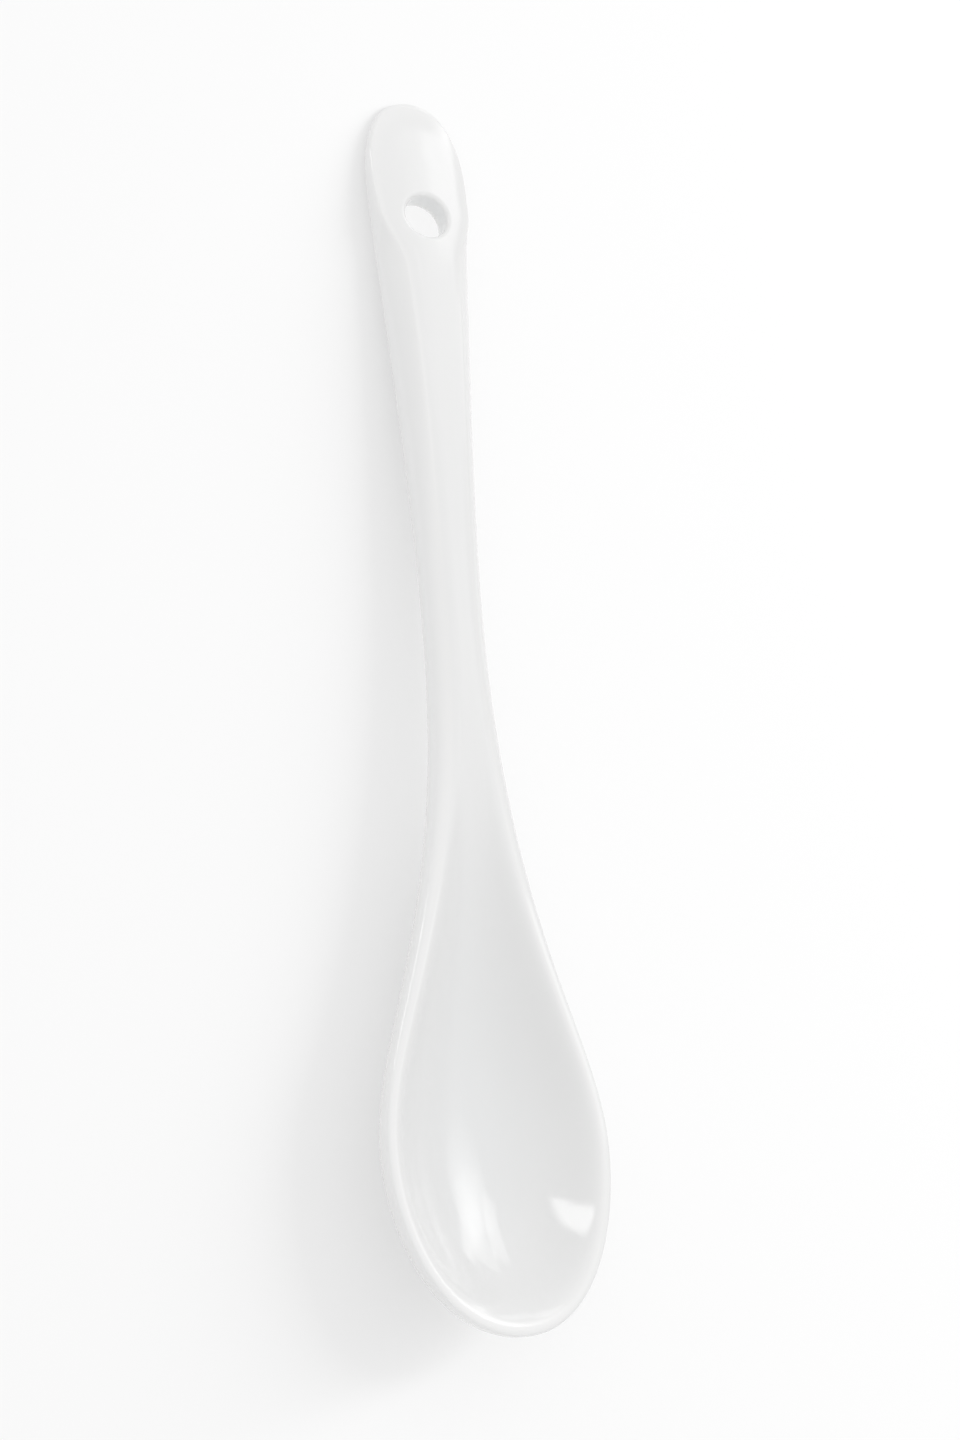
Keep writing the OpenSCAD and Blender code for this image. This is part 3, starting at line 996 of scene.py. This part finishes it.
@dataclass
class PorcelainSpoon:
    """The whole spoon as one seamless skin, which stands for the four lengths of the CAD body.

    Steps, columns and gaps say how fine the mesh is. The other values lay out the glaze: the heights
    between which it gives way to the bare foot, the steps beside the crest over which it is lighter, partly
    thinner glaze and partly a painted highlight, by how much it is lighter there and how much it pools, and
    the share of a half rib over which it pools.
    """

    form: SpoonForm = SpoonForm()
    glaze: PorcelainGlaze = PorcelainGlaze()
    name: str = "porcelain_spoon"
    front_steps: int = 36
    rim_steps: int = 16
    back_steps: int = 80
    station_gap: float = 0.62
    hole_gap: float = 0.3
    hole_margin: float = 3.9
    hole_columns: int = 33
    tip_steps: int = 48
    end_steps: int = 36
    replaces: tuple[str, ...] = ("bowl", "neck", "stem", "handle_end")
    foot_band: Span = Span(-0.03, 0.06)
    crest_width: float = 5.0
    # how much lighter the crests are: partly thinner glaze, partly a painted highlight
    rim_thinning_and_highlight: float = 0.55
    floor_pooling: float = 0.8
    pool_width: float = 0.75
    gather: MeshGather = field(default_factory=MeshGather)

    @property
    def steps(self) -> tuple[int, int, int]:
        """Points along the front, the rim and the back of a half rib."""
        return self.front_steps, self.rim_steps, self.back_steps

    @property
    def half_count(self) -> int:
        """Steps along a whole half rib."""
        return sum(self.steps)

    def stations(self, hole: HangingHole) -> tuple[Array, int, int]:
        """Places of the cross ribs, closer together by the hole.

        Args:
            hole: the hanging hole.

        Returns:
            Distances from the tip, and the first and last station of the opening.
        """
        start, stop = self.form.bowl.widest_at, self.form.end.widest_at
        low, high = hole.at - self.hole_margin, hole.at + self.hole_margin

        def even(a: float, b: float, gap: float) -> Array:
            """Even places from a up to, not with, b."""
            return np.linspace(a, b, max(1, round((b - a) / gap)), endpoint=False)

        before = even(start, low, self.station_gap)
        by_hole = even(low, high, self.hole_gap)
        after = even(high, stop, self.hole_gap)
        return np.concatenate([before, by_hole, after, [stop]]), len(before), len(before) + len(by_hole)

    def finish_points(self, x: Array, y: Array, z: Array) -> tuple[Array, dict[Layer, Array]]:
        """Evens out the faces of the half ribs and works out the glaze layers.

        Args:
            x, y, z: grids (ribs, half_count + 1), with columns from the front centre to the back centre.

        Returns:
            Points (ribs, columns, 3), and the layers shaped as x.
        """
        front, back = self.front_steps, self.half_count - self.back_steps
        z = z.copy()
        z[:, : front + 1] = self.form.height(x[:, : front + 1], y[:, : front + 1], Face.FRONT)
        under = self.form.raw_height(x[:, back:], y[:, back:], Face.BACK)
        z[:, back:] = self.form.height(x[:, back:], y[:, back:], Face.BACK)
        column = np.arange(self.half_count + 1)[None]
        # lighter band along the crest: partly thinner glaze, partly a painted highlight
        thin_and_highlight = self.rim_thinning_and_highlight * np.exp(-(((column - front) / self.crest_width) ** 2)) * np.ones_like(x)
        _, out, reach = self.form.polar(x, y)
        hollow = 1 - ease(self.form.bowl.widest_at, self.form.bowl.hollow_ends_at, y)
        depth = self.floor_pooling * hollow * (1 - ease(0.0, self.pool_width, out / reach))
        pooled = np.where(column < front, depth, 0.0)
        bare = np.zeros_like(x)
        bare[:, back:] = 1 - ease(self.foot_band.low, self.foot_band.high, under)
        points = np.stack([x, y, z], axis=-1)
        return points, {Layer.THIN: thin_and_highlight, Layer.POOLED: pooled, Layer.BARE: bare}

    def cross_ribs(self, y: Array) -> tuple[Array, dict[Layer, Array]]:
        """Right halves of the ribs square to the centre line.

        Args:
            y: distances of the ribs from the tip.

        Returns:
            Points and layers as from finish_points.
        """
        ribs = self.form.ribs(self.form.half_width(y), y, np.zeros_like(y), self.steps)
        along = np.broadcast_to(y[:, None], ribs.shape[:2])
        return self.finish_points(ribs[..., 0], along, ribs[..., 1] + self.form.edge_line(along))

    def fan_ribs(self, foot: float, width: Array, y: Array) -> tuple[Array, dict[Layer, Array]]:
        """Right halves of the ribs that fan out from one foot to outline points.

        Args:
            foot: distance of the foot from the tip.
            width, y: outline points.

        Returns:
            Points and layers as from finish_points.
        """
        reach = np.hypot(width, y - foot)
        lean = -self.form.end.slope * np.clip(y - foot, 0, None) / reach
        ribs = self.form.ribs(reach, np.full_like(reach, foot), lean, self.steps)
        out, up = ribs[..., 0], ribs[..., 1]
        along = foot + out * ((y - foot) / reach)[:, None]
        return self.finish_points(out * (width / reach)[:, None], along, up + self.form.edge_line(along))

    def add_fan(self, ring: Array, foot: float, width: Array, y: Array) -> None:
        """Closes one end of the body with a fan of ribs, from the right side round to the left.

        Args:
            ring: point numbers of the ring that the fan closes.
            foot: distance of the common foot from the tip.
            width, y: outline points from beside the ring to the centre line.
        """
        n = self.half_count
        points, layers = self.fan_ribs(foot, width, y)
        both = np.concatenate([points, (points * MIRROR)[-2::-1]])[:, 1:-1]
        both_layers = {k: np.concatenate([v, v[-2::-1]])[:, 1:-1] for k, v in layers.items()}
        rows = np.concatenate([ring[None, 1:n], self.gather.add(both, both_layers), ring[None, :n:-1]])
        self.gather.quads(rows)
        self.gather.triangles(int(ring[0]), rows[:, 0])
        self.gather.triangles(int(ring[n]), rows[:, -1])

    def build(self) -> bpy.types.Object:
        """Builds the skin: rings along the body, a fan at each end, and the hole.

        A ring runs from the front centre line over the right side to the back centre line, and home over
        the left side. The quads in the two openings of the hole are left out.

        Returns:
            The spoon's object.
        """
        n = self.half_count
        hole = HangingHole(self.form)
        y, first, last = self.stations(hole)
        right, layers = self.cross_ribs(y)
        left = right * MIRROR
        grid = np.concatenate([right, left[:, n - 1 : 0 : -1]], axis=1)
        layers = {k: np.concatenate([v, v[:, n - 1 : 0 : -1]], axis=1) for k, v in layers.items()}
        rings = self.gather.add(grid, layers)
        keep = np.ones((len(y) - 1, 2 * n), bool)
        reach = np.arange(-self.hole_columns, self.hole_columns + 1)
        keep[first:last, reach[:-1] % (2 * n)] = False
        keep[first:last, n + reach[:-1]] = False
        self.gather.quads(rings, keep, closed=True)
        t = np.arange(1, self.tip_steps + 1) / self.tip_steps
        self.add_fan(rings[0], self.form.bowl.widest_at, *self.form.tip_outline(1 - t))
        t = np.arange(1, self.end_steps + 1) / self.end_steps
        self.add_fan(rings[-1], self.form.end.widest_at, *self.form.end_outline(t))
        self.add_hole(hole, grid, rings, reach, first, last)
        self.gather.points = [p - [0.0, self.form.length / 2, 0.0] for p in self.gather.points]
        return self.gather.build(self.name)

    def add_hole(
        self, hole: HangingHole, grid: Array, rings: Array, reach: Array, first: int, last: int
    ) -> None:
        """Joins the openings in the two faces through the hole.

        Args:
            hole: the hanging hole.
            grid, rings: points of the rings and their numbers.
            reach: columns of the opening, counted from the centre line.
            first, last: first and last station of the opening.
        """
        n = self.half_count
        size = 2 * n

        def border(columns: Array) -> tuple[Array, Array]:
            """Goes round one opening: along the first station and back along the last.

            Args:
                columns: columns of the opening, from one side to the other.

            Returns:
                Points of the border, and their numbers.
            """
            rows = np.arange(first, last + 1)
            k = np.concatenate([
                np.full(len(columns) - 1, first), rows[:-1],
                np.full(len(columns) - 1, last), rows[:0:-1],
            ])
            i = np.concatenate([
                columns[:-1], np.full(len(rows) - 1, columns[-1]),
                columns[:0:-1], np.full(len(rows) - 1, columns[0]),
            ])
            return grid[k, i], rings[k, i]

        front_border, front_rim = border(reach % size)
        back_border, back_rim = border(n - reach)
        front, front_at = hole.loops(front_border, Face.FRONT)
        back, back_at = hole.loops(back_border, Face.BACK)
        wall = hole.wall(front_border, front_at, back_at)
        patch = np.zeros(hole.patch_loops)
        lip = np.linspace(0, 1, hole.lip_loops)
        rise = np.concatenate([patch, hole.lip_pooling * lip])
        pooled = np.concatenate([rise, np.full(hole.wall_loops, hole.wall_pooling), rise[::-1]])[:, None]
        # the lips are lighter too: partly thinner glaze, partly a painted highlight
        lip_thin_and_highlight = np.concatenate([patch, self.rim_thinning_and_highlight * np.sin(np.pi * lip)])
        thin_and_highlight = np.concatenate([lip_thin_and_highlight, np.zeros(hole.wall_loops), lip_thin_and_highlight[::-1]])[:, None]
        stack = np.concatenate([front, wall, back[::-1]])
        inner = self.gather.add(stack, {Layer.POOLED: pooled, Layer.THIN: thin_and_highlight})
        self.gather.quads(np.concatenate([front_rim[None], inner, back_rim[None]]), closed=True)

    def dress(self, piece: bpy.types.Object) -> None:
        """Glazes the spoon and tells the frame what it stands for.

        Args:
            piece: the spoon's object.
        """
        piece.data.materials.append(self.glaze.material())
        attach(piece, "root")
        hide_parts(*self.replaces)


@dataclass(frozen=True)
class StudioFloor:
    """Plain pale floor on which the spoon lies.

    A share of its look is light of its own, which keeps it pale beside the spoon. The share is larger
    under the hanging hole, so that the floor seen through the hole is pale too.
    """

    name: str = "pale_floor"
    half_size: float = 1.5
    colour: Colour = (0.8, 0.8, 0.8)
    roughness: float = 0.7
    specular: float = 0.0
    lift: float = 0.4
    hole_lift: float = 0.8
    under_hole: Point = (0.001, 0.0538, 0.0)
    hole_edge: Span = Span(0.0035, 0.006)

    def material(self) -> bpy.types.Material:
        """Builds the matt floor, mixed with light of its own by the distance from the hole.

        Returns:
            The material.
        """
        made = bpy.data.materials.new(self.name)
        made.use_nodes = True
        bench = NodeBench(made.node_tree)
        nodes = made.node_tree.nodes
        matt = nodes["Principled BSDF"]
        matt.inputs["Base Color"].default_value = opaque(self.colour)
        matt.inputs["Roughness"].default_value = self.roughness
        matt.inputs["Specular IOR Level"].default_value = self.specular
        light = bench.new("ShaderNodeEmission")
        light.inputs["Color"].default_value = opaque(PAPER_WHITE)
        away = bench.new("ShaderNodeVectorMath")
        away.operation = "DISTANCE"
        away.inputs[1].default_value = self.under_hole
        bench.link(bench.coordinates(Place.ON_OBJECT), away.inputs[0])
        share = bench.smooth_step(away.outputs["Value"], self.hole_edge, self.hole_lift, self.lift)
        lifted = bench.new("ShaderNodeMixShader")
        for source, target in zip((share, matt.outputs[0], light.outputs[0]), lifted.inputs):
            bench.link(source, target)
        bench.link(lifted.outputs[0], nodes["Material Output"].inputs["Surface"])
        return made

    def build(self) -> bpy.types.Object:
        """Builds the floor plane.

        Returns:
            The floor's object.
        """
        half = self.half_size
        corners = [(-half, -half, 0.0), (half, -half, 0.0), (half, half, 0.0), (-half, half, 0.0)]
        mesh = bpy.data.meshes.new(self.name)
        mesh.from_pydata(corners, [], [(0, 1, 2, 3)])
        mesh.materials.append(self.material())
        floor = bpy.data.objects.new(self.name, mesh)
        bpy.context.scene.collection.objects.link(floor)
        return floor


@dataclass(frozen=True)
class SoftBox:
    """Rectangular soft light that faces the point it is aimed at.

    Its radiance is what a mirror would show at the full spread, where 1 is paper white. A narrower spread
    gathers the same power ahead, so a mirror there shows more. Turn and spread are in degrees.
    """

    name: str
    towards: Point
    aim: Point
    distance: float
    width: float
    height: float
    radiance: float
    reach: Reach
    turn: float = 0.0
    spread: float = 180.0

    def build(self, only: bpy.types.Object | None = None) -> None:
        """Places the lamp and works out its power from its radiance: power = pi x area x radiance.

        Args:
            only: the one object that it lights, or every object if not given.
        """
        lamp = bpy.data.lights.new(self.name, "AREA")
        lamp.shape = "RECTANGLE"
        lamp.size = self.width
        lamp.size_y = self.height
        lamp.energy = math.pi * self.width * self.height * self.radiance
        lamp.spread = math.radians(self.spread)
        made = bpy.data.objects.new(self.name, lamp)
        made.visible_camera = False
        made.visible_diffuse = self.reach is not Reach.GLOSS
        made.visible_glossy = self.reach is not Reach.SOFT
        if only is not None:
            lit = bpy.data.collections.new(self.name)
            lit.objects.link(only)
            made.light_linking.receiver_collection = lit
        back = Vector(self.towards).normalized()
        spin = Matrix.Rotation(math.radians(self.turn), 4, "Z")
        facing = (-back).to_track_quat("-Z", "Y").to_matrix().to_4x4()
        made.matrix_world = Matrix.Translation(Vector(self.aim) + back * self.distance) @ facing @ spin
        bpy.context.scene.collection.objects.link(made)
        LOG.info("lamp %s", self.name)


@dataclass(frozen=True)
class GlowCard:
    """Bright card overhead, given by the x and y of the directions in which it is seen.

    Its radiance comes on top of the room's, where 1 is paper white. Soft light takes only a share of it.
    """

    name: str
    across: Span
    along: Span
    radiance: float
    soft_share: float


@dataclass(frozen=True)
class StudioRoom:
    """Pale surroundings with bright cards, which the glaze mirrors.

    They are lighter towards the handle end, and lose some light to the left, to the right and low down.
    Spans are ranges of the x, y or z of a direction.
    """

    tip_side: float = 0.93
    end_side: float = 1.11
    turn: Span = Span(-0.25, 0.06)
    left_loss: float = 0.2
    left: Span = Span(-1.0, 0.2)
    right_loss: float = 0.25
    right: Span = Span(0.65, 1.0)
    low_loss: float = 0.2
    low: Span = Span(0.0, 0.75)
    horizon_blur: float = 0.1
    cards: tuple[GlowCard, ...] = (
        GlowCard(
            "key_card", across=Span(0.45, 0.74, 0.04, 0.08), along=Span(0.54, 0.72, 0.14, 0.08),
            radiance=0.94, soft_share=0.2,
        ),
        GlowCard(
            "sky_card", across=Span(0.36, 0.74, 0.2, 0.08), along=Span(0.33, 0.74, 0.2, 0.1),
            radiance=0.42, soft_share=0.2,
        ),
        GlowCard(
            "window_card", across=Span(-0.79, -0.64, 0.05, 0.1), along=Span(0.52, 0.68, 0.05, 0.05),
            radiance=3.1, soft_share=0.2,
        ),
        GlowCard(
            "rear_left_card", across=Span(-0.55, -0.35, 0.06, 0.06), along=Span(-0.65, -0.45, 0.06, 0.06),
            radiance=1.6, soft_share=0.0,
        ),
        GlowCard(
            "rear_right_card", across=Span(0.35, 0.55, 0.06, 0.06), along=Span(-0.65, -0.45, 0.06, 0.06),
            radiance=1.6, soft_share=0.0,
        ),
    )

    def build(self) -> None:
        """Builds the world: a smooth step along y, times the three losses, plus the cards overhead."""
        world = bpy.data.worlds.new("studio_room")
        bpy.context.scene.world = world
        world.use_nodes = True
        bench = NodeBench(world.node_tree)
        parts = bench.new("ShaderNodeSeparateXYZ")
        bench.link(bench.coordinates(Place.DIRECTION), parts.inputs[0])
        across, along, upward = parts.outputs
        glossy = bench.new("ShaderNodeLightPath").outputs["Is Glossy Ray"]
        level = bench.join(
            Join.PRODUCT,
            bench.smooth_step(along, self.turn, self.tip_side, self.end_side),
            bench.smooth_step(across, self.left, 1 - self.left_loss, 1.0),
            bench.smooth_step(across, self.right, 1.0, 1 - self.right_loss),
            bench.smooth_step(upward, self.low, 1 - self.low_loss, 1.0),
        )
        overhead = bench.smooth_step(upward, Span.about(0.0, self.horizon_blur), 0.0, 1.0)
        for card in self.cards:
            sides = (bench.inside(across, card.across), bench.inside(along, card.along))
            soft = card.radiance * card.soft_share
            strength = bench.smooth_step(glossy, Span(0.0, 1.0), soft, card.radiance)
            glow = bench.join(Join.PRODUCT, *sides, strength, overhead)
            level = bench.join(Join.SUM, level, glow)
            LOG.info("card %s", card.name)
        background = world.node_tree.nodes["Background"]
        background.inputs["Color"].default_value = opaque(PAPER_WHITE)
        bench.link(level, background.inputs["Strength"])


@dataclass(frozen=True)
class PhotoCamera:
    """Camera at the photograph's viewing angle, in metres in the CAD frame.

    Right and up are the directions of the picture's sides. The field of view is in degrees from the top to
    the bottom of the picture, and the sensor is in millimetres.
    """

    name: str = "photo_camera"
    place: Point = (-0.20385, -0.10099, 0.39392)
    right: Point = (0.88748, -0.05125, 0.45800)
    up: Point = (-0.05590, 0.97451, 0.21735)
    field_of_view: float = 19.05
    sensor: float = 36.0
    nearest: float = 0.01
    farthest: float = 20.0

    def build(self) -> None:
        """Makes the camera the scene's own."""
        lens = bpy.data.cameras.new(self.name)
        lens.sensor_fit = "VERTICAL"
        lens.sensor_height = self.sensor
        lens.lens = self.sensor / 2 / math.tan(math.radians(self.field_of_view) / 2)
        lens.clip_start = self.nearest
        lens.clip_end = self.farthest
        camera = bpy.data.objects.new(self.name, lens)
        right = Vector(self.right).normalized()
        back = right.cross(Vector(self.up)).normalized()
        up = back.cross(right)
        turn = Matrix((right, up, back)).transposed().to_4x4()
        camera.matrix_world = Matrix.Translation(Vector(self.place)) @ turn
        bpy.context.scene.collection.objects.link(camera)
        bpy.context.scene.camera = camera


@dataclass(frozen=True)
class Studio:
    """Camera, floor, surroundings and lamps: one sweeps the floor, and three cards show in the bowl."""

    camera: PhotoCamera = PhotoCamera()
    floor: StudioFloor = StudioFloor()
    room: StudioRoom = StudioRoom()
    floor_sweep: SoftBox = SoftBox(
        "floor_sweep", towards=(0.8, 0.25, 0.55), aim=(-0.02, -0.03, 0.0), distance=0.7,
        width=0.12, height=0.6, radiance=10.5, reach=Reach.SOFT,
    )
    bowl_cards: tuple[SoftBox, ...] = (
        SoftBox(
            "bowl_card", towards=(0.565, 0.475, 0.676), aim=(-0.0009, -0.0485, 0.0034), distance=0.0444,
            width=0.028, height=0.028, radiance=0.12, reach=Reach.GLOSS, turn=-22.6, spread=50.0,
        ),
        SoftBox(
            "bowl_edge_card", towards=(0.312, 0.715, 0.6), aim=(0.0009, -0.0563, 0.0049), distance=0.0452,
            width=0.007, height=0.018, radiance=0.14, reach=Reach.GLOSS, spread=62.0,
        ),
        SoftBox(
            "bowl_foot_card", towards=(0.533, 0.768, 0.359), aim=(-0.001, -0.0582, 0.0059), distance=0.0482,
            width=0.0105, height=0.0095, radiance=0.085, reach=Reach.GLOSS, spread=62.0,
        ),
    )

    def build(self) -> None:
        """Builds the studio round the spoon."""
        bpy.context.scene.view_settings.view_transform = "Standard"
        self.camera.build()
        floor = self.floor.build()
        self.room.build()
        self.floor_sweep.build(only=floor)
        for card in self.bowl_cards:
            card.build()


def main() -> None:
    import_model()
    Studio().build()
    spoon = PorcelainSpoon()
    piece = spoon.build()
    spoon.dress(piece)
    LOG.info("piece %s: %d faces", piece.name, len(piece.data.polygons))
    bpy.context.view_layer.update()


if __name__ == "__main__":
    logging.basicConfig(level=logging.INFO, format="%(name)s: %(message)s")
    main()
